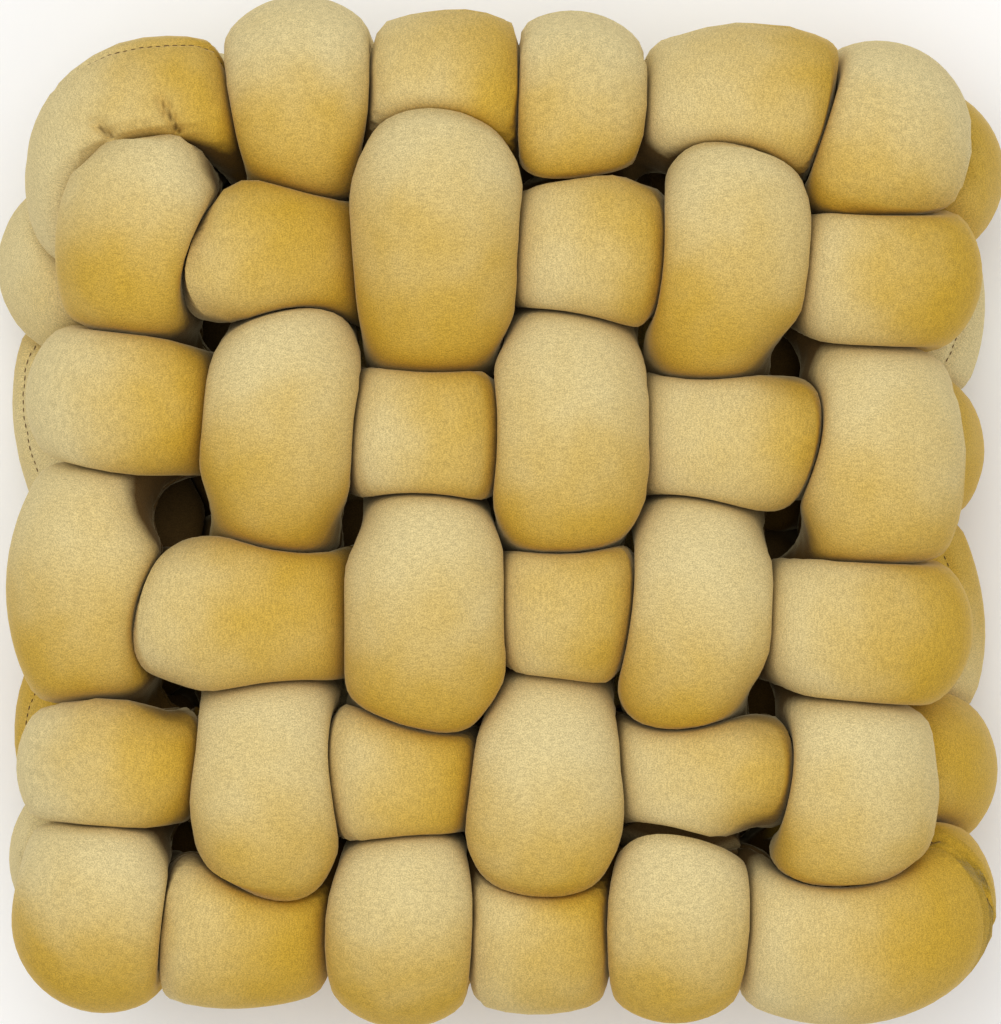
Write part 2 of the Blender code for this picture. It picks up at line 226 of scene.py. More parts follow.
    def crossing(self, upright: int, level: int, run: Run) -> list[Stop]:
        """The stops of a front crossing.

        Args:
            upright: The upright, counted from the left.
            level: The level, counted from the top.
            run: Which of the two strands the stops are on.

        Returns:
            One stop where the strand is under, and two where it is over, at its shoulders.
        """
        stop = self.front_stop(upright, level, run)
        if stop.hold != self.held:
            return [stop]
        if run is Run.UPRIGHT:
            step, more = (0, -self.upright_overs_mm[upright][level // 2][3] * MM), self.upright_shoulder_swell
        else:
            step, more = (self.level_overs_mm[level][upright // 2][3] * MM, 0), self.level_shoulder_swell
        x, y, z = stop.point
        places = [(x + side * step[0], y + side * step[1], z) for side in (-1, 1)]
        return [stop._replace(point=place, swell=stop.swell + more) for place in places]

    def back_stop(self, place: int, link: int, run: Run) -> Stop:
        """Where a back upright and a back level cross.

        Args:
            place: The back upright, counted from the left of the face.
            link: The back level, counted from the top.
            run: Which of the two strands the stop is on.

        Returns:
            The stop on that strand.
        """
        outside = ((place + link) % 2 == 1) == (run is Run.UPRIGHT)
        from_right = (self.back_uprights - place) / (self.back_uprights + 1)
        right_end = self.front_stop(self.uprights - 1, link, Run.LEVEL).point[1]
        left_end = self.front_stop(0, link + 1, Run.LEVEL).point[1]
        y = right_end * (1 - from_right) + left_end * from_right
        swell = self.wrap_swell if outside else self.under_swell
        if 0 < place < self.back_uprights - 1:
            even = 2 * place / (self.back_uprights - 1) - 1
            drop = 2 * link / (self.back_links - 1) - 1
            x = self.back_half_spread * even + self.back_slant * drop
            height = self.back_height + (-self.crimp(run) if outside else self.crimp(run))
            seam = self.back_upright_seam if run is Run.UPRIGHT else self.level_seam
            return Stop((x, y, height), self.loose, swell, seam)
        side = -1 if place == 0 else 1
        lean = (self.side_crimp if outside else -self.side_crimp) * math.sqrt(0.5)
        seam = self.side_seams[side > 0] if run is Run.UPRIGHT else self.level_seam
        point = (side * (self.side_place + lean), y, self.side_height - lean)
        return Stop(point, self.half_held, swell, seam)

    def wrap(self, upright: int, level: int, edge: Edge) -> Stop:
        """Where the strand that ends at this crossing turns round an edge.

        Args:
            upright: The upright at that end of the crossing.
            level: The level at that end of the crossing.
            edge: The edge that is wrapped.

        Returns:
            The stop at the outermost point of the turn.
        """
        run = Run.UPRIGHT if edge in (Edge.UPPER, Edge.LOWER) else Run.LEVEL
        reach = {
            Edge.UPPER: self.upper_reach_mm,
            Edge.LOWER: self.lower_reach_mm,
            Edge.RIGHT: self.right_reach_mm,
            Edge.LEFT: (math.nan, *self.left_reach_mm),
        }[edge][upright if run is Run.UPRIGHT else level]
        crossing = self.front_stop(upright, level, run)
        out_x, out_y = edge.value
        x = crossing.point[0] if run is Run.UPRIGHT else out_x * reach * MM
        y = out_y * reach * MM if run is Run.UPRIGHT else crossing.point[1]
        over = crossing.hold == self.held
        height = self.over_wrap_height if over else self.under_wrap_height
        return Stop((x, y, height), self.half_held, self.wrap_swell, crossing.seam)

    def gaps(self) -> np.ndarray:
        """Rows of x, y and radius of the places where the front stays open."""
        return np.array(self.gaps_mm) * MM

    def corner(self, points_mm: tuple[Triple, ...], seams: tuple[Triple, ...]) -> list[Stop]:
        """The stops of a corner turn.

        Args:
            points_mm: Where they lie.
            seams: The way that the seam faces at each.

        Returns:
            The stops, in order.
        """
        return [
            Stop(tuple(value * MM for value in point), self.held, self.wrap_swell, seam)
            for point, seam in zip(points_mm, seams, strict=True)
        ]

    def stops(self) -> list[Stop]:
        """The whole strand as it is woven.

        Returns:
            Its stops in order: the uprights from right to left, then the levels downwards.
        """
        last_upright, last_level = self.uprights - 1, self.levels - 1
        stops = []
        for upright in reversed(range(self.uprights)):
            for level in range(self.levels):
                stops += self.crossing(upright, level, Run.UPRIGHT)
            stops.append(self.wrap(upright, last_level, Edge.LOWER))
            stops += [self.back_stop(upright, link, Run.UPRIGHT) for link in reversed(range(self.back_links))]
            if upright > 0:
                stops.append(self.wrap(upright - 1, 0, Edge.UPPER))
        stops += self.corner(self.upper_left_turn_mm, self.upper_left_seams)
        for level in range(self.levels):
            for upright in range(self.uprights):
                stops += self.crossing(upright, level, Run.LEVEL)
            if level < last_level:
                stops.append(self.wrap(last_upright, level, Edge.RIGHT))
                stops += [self.back_stop(place, level, Run.LEVEL) for place in reversed(range(self.back_uprights))]
                stops.append(self.wrap(0, level + 1, Edge.LEFT))
        stops += self.corner(self.lower_right_turn_mm, self.lower_right_seams)
        stops += [
            self.back_stop(self.back_uprights - 1, link, Run.UPRIGHT) for link in reversed(range(self.back_links))
        ]
        stops.append(self.wrap(last_upright, 0, Edge.UPPER))
        return stops


def beside(overs: tuple[Over, ...], place: int) -> np.ndarray:
    """The middle of the overs on either side of this crossing, or the last over at a row's end."""
    near = [p for p in (place - 1, place + 1) if 0 <= p < 2 * len(overs)]
    return np.mean([overs[p // 2] for p in near], axis=0)


def closed_spline(rows: np.ndarray, evenness: float, per_span: int) -> np.ndarray:
    """Points along the smooth closed cubic through some rows.

    Args:
        rows: The rows to pass through, whose first three columns are a place.
        evenness: The power of each span's length that its share of the curve follows.
        per_span: How many points each span gets.

    Returns:
        The rows along the curve.
    """
    spans = np.linalg.norm(np.roll(rows, -1, axis=0)[:, :3] - rows[:, :3], axis=1) ** evenness
    ahead = np.roll(rows, -1, axis=0) - rows
    after, before = spans[:, None], np.roll(spans, 1)[:, None]
    own = np.eye(len(rows))
    system = after * np.roll(own, -1, axis=1) + 2 * (before + after) * own + before * np.roll(own, 1, axis=1)
    right = 3 * (after / before * np.roll(ahead, 1, axis=0) + before / after * ahead)
    rates = np.linalg.solve(system, right)
    slopes = rates * spans[:, None]
    arrivals = np.roll(rates, -1, axis=0) * spans[:, None]
    t = np.linspace(0, 1, per_span, endpoint=False)[None, :, None]
    ends = rows[:, None], np.roll(rows, -1, axis=0)[:, None]
    curve = (2 * t**3 - 3 * t**2 + 1) * ends[0] + (3 * t**2 - 2 * t**3) * ends[1]
    curve = curve + (t**3 - 2 * t**2 + t) * slopes[:, None] + (t**3 - t**2) * arrivals[:, None]
    return curve.reshape(len(rows) * per_span, -1)


def evenly_spaced(rows: np.ndarray, count: int) -> np.ndarray:
    """Spaces a closed run of rows evenly.

    Args:
        rows: The rows, whose first three columns are a place.
        count: How many rows to make.

    Returns:
        The new rows.
    """
    closed = np.vstack([rows, rows[:1]])
    along = np.concatenate([[0], np.cumsum(np.linalg.norm(np.diff(closed[:, :3], axis=0), axis=1))])
    at = np.linspace(0, along[-1], count, endpoint=False)
    return np.stack([np.interp(at, along, column) for column in closed.T], axis=1)


def length_of(points: np.ndarray) -> float:
    """The length of a closed run of points."""
    return float(np.linalg.norm(np.roll(points, -1, axis=0) - points, axis=1).sum())


def eased(values: np.ndarray, width: float) -> np.ndarray:
    """Smooths a closed run of values by a bell curve.

    Args:
        values: The values.
        width: The bell curve's width, in stations.

    Returns:
        The smooth values.
    """
    reach = math.ceil(BELL_REACH * width)
    offsets = np.arange(-reach, reach + 1)
    weights = np.exp(-0.5 * (offsets / width) ** 2)
    return sum(w * np.roll(values, o, axis=0) for w, o in zip(weights / weights.sum(), offsets, strict=True))


def unit(vectors: np.ndarray) -> np.ndarray:
    """The vectors of an array's last axis, made one long."""
    return vectors / np.linalg.norm(vectors, axis=-1, keepdims=True)


@dataclass(frozen=True)
class Settling:
    """How the laid strand finds its rest: its stretches push each other apart, and its bends ease.

    Attributes:
        closest_share: How near two stretches may come, as a share of their swells together.
        own_reach: The length of tube within which a stretch isn't pushed by its own neighbours.
        fullness: The power that brings the swells of lean stretches near the full ones.
    """

    closest_share: float = 0.58
    laid_evenness: float = 0.75
    per_span: int = 20
    station_step: float = 8 * MM
    per_station: int = 8
    own_reach: float = 58 * MM
    rounds: int = 60
    push: float = 0.9
    stiffness: float = 0.4
    stiff_width: float = 1.4
    kink_width: float = 1.5
    floor_standoff: float = 17 * MM
    least_swell: float = 17 * MM
    full_swell: float = 27 * MM
    fullness: float = 0.3

    def settled(self, stops: list[Stop]) -> np.ndarray:
        """Settles the strand.

        Args:
            stops: The laid points, in order.

        Returns:
            A row of x, y, z, swell and the seam's way for each millimetre or so.
        """
        rows = np.array([(*stop.point, stop.swell, stop.hold, *stop.seam) for stop in stops])
        curve = closed_spline(rows, self.laid_evenness, self.per_span)
        strand = evenly_spaced(curve, round(length_of(curve[:, :3]) / self.station_step))
        points, swells, holds = strand[:, :3], strand[:, 3], strand[:, 4:5]
        home = points.copy()
        apart = np.abs(np.arange(len(points))[:, None] - np.arange(len(points))[None, :])
        own = np.minimum(apart, len(points) - apart) * self.station_step < self.own_reach
        closest = self.closest_share * (swells[:, None] + swells[None, :])
        for _ in range(self.rounds):
            offsets = points[:, None, :] - points[None, :, :]
            distances = np.sqrt((offsets**2).sum(axis=2)) + TINY
            push = np.where(own | (distances > closest), 0, closest / distances - 1)
            crowd = np.maximum(1, (push > 0).sum(axis=1))
            points = points + self.push * (push[:, :, None] * offsets).sum(axis=1) / crowd[:, None]
            points += holds * (home - points)
            points += self.stiffness * (eased(points, self.stiff_width) - points)
            points[:, 2] = np.maximum(points[:, 2], self.floor_standoff)
        once = eased(points, self.kink_width)
        smooth = 2 * once - eased(once, self.kink_width)
        share = np.maximum(swells - self.least_swell, TINY) / (self.full_swell - self.least_swell)
        fuller = self.least_swell + (self.full_swell - self.least_swell) * share**self.fullness
        return closed_spline(np.hstack([smooth, fuller[:, None], strand[:, 5:]]), 1, self.per_station)


@dataclass
class Skin:
    """The tube's surface as rings of rays from its middle line.

    Attributes:
        centres: The middle of each ring.
        rays: Each ring's rays across the tube, the first one at the seam.
        turns: The rays' angles from the seam.
        tangents: The way along the tube at each ring.
        reach: How far each ray goes.
        step: The length of tube from ring to ring.
        limits: How far each ray may go before it meets another stretch.
        pressed: How much shorter than a free ray each ray is for that, as a share.
    """

    centres: np.ndarray
    rays: np.ndarray
    turns: np.ndarray
    tangents: np.ndarray
    reach: np.ndarray
    step: float
    limits: np.ndarray
    pressed: np.ndarray | None = None

    def points(self) -> np.ndarray:
        """The surface, pressed flat where it rests on the floor.

        Returns:
            The points, by ring and ray.
        """
        down = -self.rays[:, :, 2]
        floor = np.where(down > TINY, self.centres[:, 2:3] / np.maximum(down, TINY), np.inf)
        return self.centres[:, None, :] + np.minimum(self.reach, floor)[:, :, None] * self.rays


@dataclass(frozen=True)
class Filling:
    """How the filling rounds the tube out, and how its stretches press each other flat.

    Attributes:
        girth: The cloth's own girth, which each ring swells or shrinks to.
        swelling: The least and most free radius, as shares of the round tube's.
        rounding: How sharply a pressed face meets a free one.
        bend_share: The share of a bend's radius that the inside of the bend may fill.
        skin_gap: The gap left between two stretches that touch.
        gap_heights: From which height to which the front's open gaps reach, and the steps in which they are felt.
        own_reach: The length of tube within which a ring isn't pressed by its own neighbours.
        own_fade: The length beyond it over which they come to press, from own_slack too little to fully.
    """

    girth: float = 152 * MM
    swelling: tuple[float, float] = (0.90, 1.12)
    easing: float = 8 * MM
    halvings: int = 14
    rounding: float = 11
    bend_share: float = 0.75
    least_reach: float = 5 * MM
    open_reach: float = 1.0
    skin_gap: float = 0.3 * MM
    gap_heights: tuple[float, float, float] = (62 * MM, 122 * MM, 6 * MM)
    neighbour_step: float = 4 * MM
    own_reach: float = 50 * MM
    own_fade: float = 16 * MM
    own_slack: float = 30 * MM
    touching_reach: float = 58 * MM
    turn_easing: float = 14 * MM
    parting_rounds: int = 4
    clearance: float = 0.3 * MM

    def soft_least(self, *limits: np.ndarray) -> np.ndarray:
        """The least of these lengths, rounded where two of them are close."""
        return sum(limit**-self.rounding for limit in limits) ** (-1 / self.rounding)

    def pressed_reach(self, centre: np.ndarray, swell: float, rays: np.ndarray, near: np.ndarray,
                      numbers: np.ndarray, slack: np.ndarray) -> np.ndarray:
        """How far each ray goes before it meets a neighbouring stretch.

        Args:
            centre: The ring's middle.
            swell: How strongly the ring swells.
            rays: The ring's rays.
            near: The rows of the stations near by, in order along the strand.
            numbers: Those stations' numbers, whose jumps part one stretch from the next.
            slack: How much further than up to each station the rays may go.

        Returns:
            The length of each ray.
        """
        to_point = near[:, :3] - centre
        towards = rays @ to_point.T
        power = np.maximum((to_point**2).sum(axis=1) + swell**2 - near[:, 3] ** 2, 0)
        reach = slack + np.where(towards > TINY, power / (2 * np.maximum(towards, TINY)), self.open_reach)
        runs = np.flatnonzero(np.diff(numbers, prepend=-2) > 1)
        return self.soft_least(*np.maximum(np.minimum.reduceat(reach, runs, axis=1), self.least_reach).T)

    def gap_reach(self, centre: np.ndarray, rays: np.ndarray, gaps: np.ndarray) -> np.ndarray:
        """How far each ray goes before it meets an open gap.

        Args:
            centre: The ring's middle.
            rays: The ring's rays.
            gaps: Rows of the gaps' x, y and radius.

        Returns:
            The length of each ray.
        """
        heights = np.arange(*self.gap_heights)
        columns = np.concatenate([np.column_stack([np.tile(gap, (len(heights), 1)), heights]) for gap in gaps])
        to_point = columns[:, [0, 1, 3]] - centre
        far = np.linalg.norm(to_point, axis=1)
        power = far * np.maximum(far - columns[:, 2], 0)
        towards = rays @ to_point.T
        reach = np.where(towards > TINY, power / np.maximum(towards, TINY), self.open_reach)
        return np.maximum(reach.min(axis=1), self.least_reach)

    def rings(self, strand: np.ndarray, gaps: np.ndarray, count: int, turns: np.ndarray) -> Skin:
        """The rings before they are filled: how far each ray may go.

        Args:
            strand: The settled strand.
            gaps: Rows of x, y and radius of the front's open gaps.
            count: How many rings the tube gets.
            turns: The rays' angles from the seam.

        Returns:
            The skin, whose reach is each ray's limit.
        """
        whole = length_of(strand[:, :3])
        step = whole / count
        stations = evenly_spaced(strand, count)
        centres = stations[:, :3]
        before, after = np.roll(centres, 1, axis=0), np.roll(centres, -1, axis=0)
        tangents = unit(after - before)
        seam = eased(stations[:, 4:7], self.turn_easing / step)
        first = unit(seam - (seam * tangents).sum(axis=1)[:, None] * tangents)
        second = np.cross(tangents, first)
        across = turns[None, :, None]
        rays = np.cos(across) * first[:, None, :] + np.sin(across) * second[:, None, :]
        neighbours = evenly_spaced(strand, round(whole / self.neighbour_step))
        places = np.arange(len(neighbours)) * whole / len(neighbours)
        limits = np.full((count, len(turns)), self.open_reach)
        for i, centre in enumerate(centres):
            gap = np.abs(places - i * step)
            along = np.minimum(gap, whole - gap) - self.own_reach
            close_by = ((neighbours[:, :3] - centre) ** 2).sum(axis=1) < self.touching_reach**2
            near = np.flatnonzero((along > 0) & close_by)
            if len(near):
                slack = self.own_slack * np.maximum(1 - along[near] / self.own_fade, 0)
                limits[i] = self.pressed_reach(centre, stations[i, 3], rays[i], neighbours[near], near, slack)
            open_near = gaps[((gaps[:, :2] - centre[:2]) ** 2).sum(axis=1) < self.touching_reach**2]
            if len(open_near) and centre[2] > self.gap_heights[0]:
                limits[i] = self.soft_least(limits[i], self.gap_reach(centre, rays[i], open_near))
        bends = np.einsum("ijk,ik->ij", rays, (after + before - 2 * centres) / step**2)
        inner = np.where(bends > TINY, self.bend_share / np.maximum(bends, TINY), self.open_reach)
        reach = np.maximum(self.soft_least(limits, inner), self.least_reach) - self.skin_gap
        return Skin(centres, rays, turns, tangents, reach, step, limits)

    def fill(self, skin: Skin) -> None:
        """Swells each ring's free parts until its girth is the cloth's own.

        Args:
            skin: The skin, which gets its reach and how pressed it is.
        """
        round_radius = self.girth / (2 * math.pi)
        slack, tight = (np.full(len(skin.reach), share * round_radius) for share in self.swelling)
        between = np.cos(np.diff(skin.turns, append=skin.turns[0] + 2 * math.pi))
        for _ in range(self.halvings):
            middle = (slack + tight) / 2
            reach = self.soft_least(skin.reach, middle[:, None])
            beyond = np.roll(reach, -1, axis=1)
            girth = np.sqrt(reach**2 + beyond**2 - 2 * reach * beyond * between).sum(axis=1)
            slack = np.where(girth < self.girth, middle, slack)
            tight = np.where(girth < self.girth, tight, middle)
        free = eased((slack + tight) / 2, self.easing / skin.step)[:, None]
        skin.reach = self.soft_least(skin.reach, free)
        skin.pressed = 1 - self.soft_least(skin.limits, free) / free

    def part(self, skin: Skin) -> None:
        """Draws the skin in where a ray would pass through another stretch of the tube.

        Args:
            skin: The skin, whose reach changes.
        """
        faces = ring_faces(*skin.reach.shape).tolist()
        for _ in range(self.parting_rounds):
            points = skin.points()
            lengths = np.linalg.norm(points - skin.centres[:, None, :], axis=2)
            tree = BVHTree.FromPolygons(points.reshape(-1, 3).tolist(), faces)
            crossed = 0
            for (ring, side), length in np.ndenumerate(lengths):
                ray = Vector(skin.rays[ring, side])
                hit = tree.ray_cast(Vector(skin.centres[ring]), ray, length + self.clearance)[3]
                if hit is not None and hit < length - self.clearance:
                    skin.reach[ring, side] = max((length + hit - self.clearance) / 2, self.least_reach)
                    crossed += 1
            LOG.info("parted %d crossed rays", crossed)
            if not crossed:
                break


def ring_faces(rings: int, sides: int) -> np.ndarray:
    """The quads between the rings.

    Args:
        rings: How many rings there are.
        sides: How many points each of them has.

    Returns:
        Rows of four point numbers, which run all round one ring after another.
    """
    ring, side = np.divmod(np.arange(rings * sides), sides)
    after, beyond = (ring + 1) % rings * sides, (side + 1) % sides
    return np.stack([ring * sides + side, after + side, after + beyond, ring * sides + beyond], axis=1)


@dataclass(frozen=True)
class Seam:
    """The lengthwise seam: a sunk line with raised lips that pucker, held by small stitches.

    Attributes:
        columns_mm: How far from the seam's middle the extra columns of points lie.
        clearing: How near to them the even columns are left out, as a share of those columns' pitch.
        drift: How far the puckers shift along the seam, at drift_rate of their own rate.
        beat_rate: How often they grow and fade, as a share of that rate.
    """

    columns_mm: tuple[float, ...] = (0.7, 1.5, 2.8)
    clearing: float = 1 / 3
    depth: float = 0.9 * MM
    half_width: float = 0.75 * MM
    lip: float = 0.25 * MM
    lip_place: float = 2.0 * MM
    lip_width: float = 1.1 * MM
    pucker: float = 0.35 * MM
    pucker_spread: float = 6 * MM
    pucker_pitch: float = 11 * MM
    drift: float = 3
    drift_rate: float = 0.13
    beat_rate: float = 0.31
    stitch_pitch: float = 2.45 * MM
    stitch_length: float = 1.6 * MM
    thread_radius: float = 0.19 * MM
    seed: int = 7

    def turns(self, sides: int, radius: float) -> np.ndarray:
        """The angles of a ring's rays.

        Args:
            sides: How many there would be if all were even.
            radius: The tube's own radius.

        Returns:
            Even angles all round, but for extra ones beside the seam and none crowding those.
        """
        extra = np.array(self.columns_mm) * MM / radius
        pitch = 2 * math.pi / sides
        even = np.arange(1, sides) * pitch
        taken = extra[-1] + self.clearing * pitch
        even = even[(even > taken) & (even < 2 * math.pi - taken)]
        return np.sort(np.concatenate([[0], extra, even, 2 * math.pi - extra]))

    def press(self, skin: Skin) -> None:
        """Sinks the seam into the skin and puckers the cloth beside it.

        Args:
            skin: The skin, whose reach changes.
        """
        radius = skin.reach.mean()
        turn = np.minimum(skin.turns, 2 * math.pi - skin.turns)
        away = (turn * radius)[None, :]
        along = (np.arange(len(skin.reach)) * skin.step)[:, None]
        groove = -self.depth * np.exp(-((away / self.half_width) ** 2))
        lips = self.lip * np.exp(-(((away - self.lip_place) / self.lip_width) ** 2))
        wave = 2 * math.pi / self.pucker_pitch
        shift = self.drift * np.sin(self.drift_rate * wave * along)
        ripple = np.sin(wave * along + shift) * np.sin(self.beat_rate * wave * along)
        skin.reach += groove + lips + self.pucker * ripple * np.exp(-((away / self.pucker_spread) ** 2))


@dataclass(frozen=True)
class Crease:
    """A sharp fold that a tight turn presses into the cloth.

    Attributes:
        route_mm: The points that it passes on the face, as x and y, from its shallow end to its deep one.
        height: The height at which its cloth lies.
        depth: How deep it is.
        painted_shade: How much painted shade its line gets.
        shallow: The share of its length over which it deepens.
        margin: How near to it the cloth gets finer faces.
        own_stretch: How far along the tube its cloth reaches.
        half_width: How far its sides reach from its line.
        lip: How far the cloth on its left rises beside it.
    """

    route_mm: tuple[tuple[float, float], ...]
    height: float
    depth: float = 6 * MM
    half_width: float = 1.3 * MM
    lip: float = 1.4 * MM
    lip_width: float = 4 * MM
    margin: float = 9 * MM
    height_margin: float = 24 * MM
    painted_shade: float = 0.3
    shallow: float = 0.4
    own_stretch: float = 45 * MM
    cuts: int = 4

    def offsets(self, x: float, y: float) -> tuple[float, float, float]:
        """Where a point lies beside the crease.

        Args:
            x: The point's x.
            y: The point's y.

        Returns:
            How far it is from the crease, how far to the left of it, and its place along it from 0 to 1.
        """
        route = np.array(self.route_mm) * MM
        spans = np.diff(route, axis=0)
        lengths = np.linalg.norm(spans, axis=1)
        rest = np.array((x, y)) - route[:-1]
        share = np.clip((rest * spans).sum(axis=1) / lengths**2, 0, 1)
        away = np.linalg.norm(rest - share[:, None] * spans, axis=1)
        nearest = int(away.argmin())
        left = (spans[nearest, 0] * rest[nearest, 1] - spans[nearest, 1] * rest[nearest, 0]) / lengths[nearest]
        place = (lengths[:nearest].sum() + share[nearest] * lengths[nearest]) / lengths.sum()
        return float(away[nearest]), float(left), float(place)

    def press(self, mesh: bpy.types.Mesh) -> None:
        """Divides the cloth round the crease into finer faces and presses the crease into it.

        Args:
            mesh: The tube's mesh, whose attribute "along" holds each point's place along the tube.
        """
        shape = bmesh.new()
        shape.from_mesh(mesh)
        along = shape.verts.layers.float["along"]
        pressed = shape.verts.layers.float["pressed"]
        middle = Vector((*(value * MM for value in self.route_mm[len(self.route_mm) // 2]), self.height))
        start = min(shape.verts, key=lambda vertex: (vertex.co - middle).length)[along]

        def near(vertex: bmesh.types.BMVert, margin: float) -> bool:
            """Whether a point is on the creased stretch, near the crease.

            Args:
                vertex: The point.
                margin: How near.

            Returns:
                Whether it is.
            """
            if abs(vertex[along] - start) > self.own_stretch or abs(vertex.co.z - self.height) > self.height_margin:
                return False
            return self.offsets(vertex.co.x, vertex.co.y)[0] < margin

        edges = {edge for vertex in shape.verts if near(vertex, self.margin) for edge in vertex.link_edges}
        bmesh.ops.subdivide_edges(shape, edges=list(edges), cuts=self.cuts, use_grid_fill=True)
        for vertex in [vertex for vertex in shape.verts if near(vertex, 2 * self.lip_width)]:
            away, left, place = self.offsets(vertex.co.x, vertex.co.y)
            inside = math.exp(-((away / self.half_width) ** 2))
            beside = math.exp(-(((left - self.lip_width / 2) / self.lip_width) ** 2)) * (left > 0) * (1 - place)
            strength = min(1, place / self.shallow)
            vertex.co.z += strength * (self.lip * beside - self.depth * inside)
            # Painted shade along the crease's line.
            vertex[pressed] = max(vertex[pressed], strength * inside * self.painted_shade)
        shape.to_mesh(mesh)
        shape.free()
        mesh.shade_smooth()


def link(name: str, data: bpy.types.ID) -> bpy.types.Object:
    """Puts something new into the scene.

    Args:
        name: The object's name.
        data: Its mesh, light or camera.

    Returns:
        The object.
    """
    obj = bpy.data.objects.new(name, data)
    bpy.context.scene.collection.objects.link(obj)
    return obj


def record(mesh: bpy.types.Mesh, name: str, values: np.ndarray) -> None:
    """Gives a mesh an attribute: a number for each point, or a vector where the values have a second axis."""
    kind, key = ("FLOAT", "value") if values.ndim == 1 else ("FLOAT_VECTOR", "vector")
    mesh.attributes.new(name, kind, "POINT").data.foreach_set(key, values.astype(np.float32).ravel())


class Nodes:
    """A short way to write a node tree."""

    def __init__(self, tree: bpy.types.NodeTree) -> None:
        """Starts from an empty tree."""
        self.tree = tree
        tree.nodes.clear()

    def add(self, kind: str, inputs: dict | None = None, **settings: object) -> bpy.types.Node:
        """Adds a node.

        Args:
            kind: The node's type name.
            inputs: Values or other nodes' outputs, by the input's name or number.
            settings: The node's own properties.

        Returns:
            The new node.
        """
        node = self.tree.nodes.new(kind)
        for name, value in settings.items():
            setattr(node, name, value)
        for name, value in (inputs or {}).items():
            if isinstance(value, bpy.types.NodeSocket):
                self.tree.links.new(value, node.inputs[name])
            else:
                node.inputs[name].default_value = value
        return node

    def math(self, operation: str, *values: object) -> bpy.types.NodeSocket:
        """The outcome of a sum or the like on these values."""
        return self.add("ShaderNodeMath", dict(enumerate(values)), operation=operation).outputs[0]

    def mix(self, factor: object, first: object, second: object) -> bpy.types.NodeSocket:
        """The colour between two colours."""
        return self.add("ShaderNodeMix", {0: factor, 6: first, 7: second}, data_type="RGBA").outputs[2]

    def noise(self, place: bpy.types.NodeSocket, size: float, detail: float) -> bpy.types.NodeSocket:
        """A cloudy pattern round 0.5, of this size."""
        inputs = {"Vector": place, "Scale": 1 / size, "Detail": detail}
        return self.add("ShaderNodeTexNoise", inputs).outputs[0]

    def mapped(self, value: bpy.types.NodeSocket, low: float, high: float, least: float, most: float,
               **settings: object) -> bpy.types.NodeSocket:
        """The value, brought from between low and high to between least and most."""
        inputs = {0: value, 1: low, 2: high, 3: least, 4: most}
        return self.add("ShaderNodeMapRange", inputs, **settings).outputs[0]


def new_material(name: str) -> tuple[bpy.types.Material, Nodes]:
    """Starts a material.

    Args:
        name: Its name.

    Returns:
        The material, and its empty node tree.
    """
    material = bpy.data.materials.new(name)
    material.use_nodes = True
    return material, Nodes(material.node_tree)


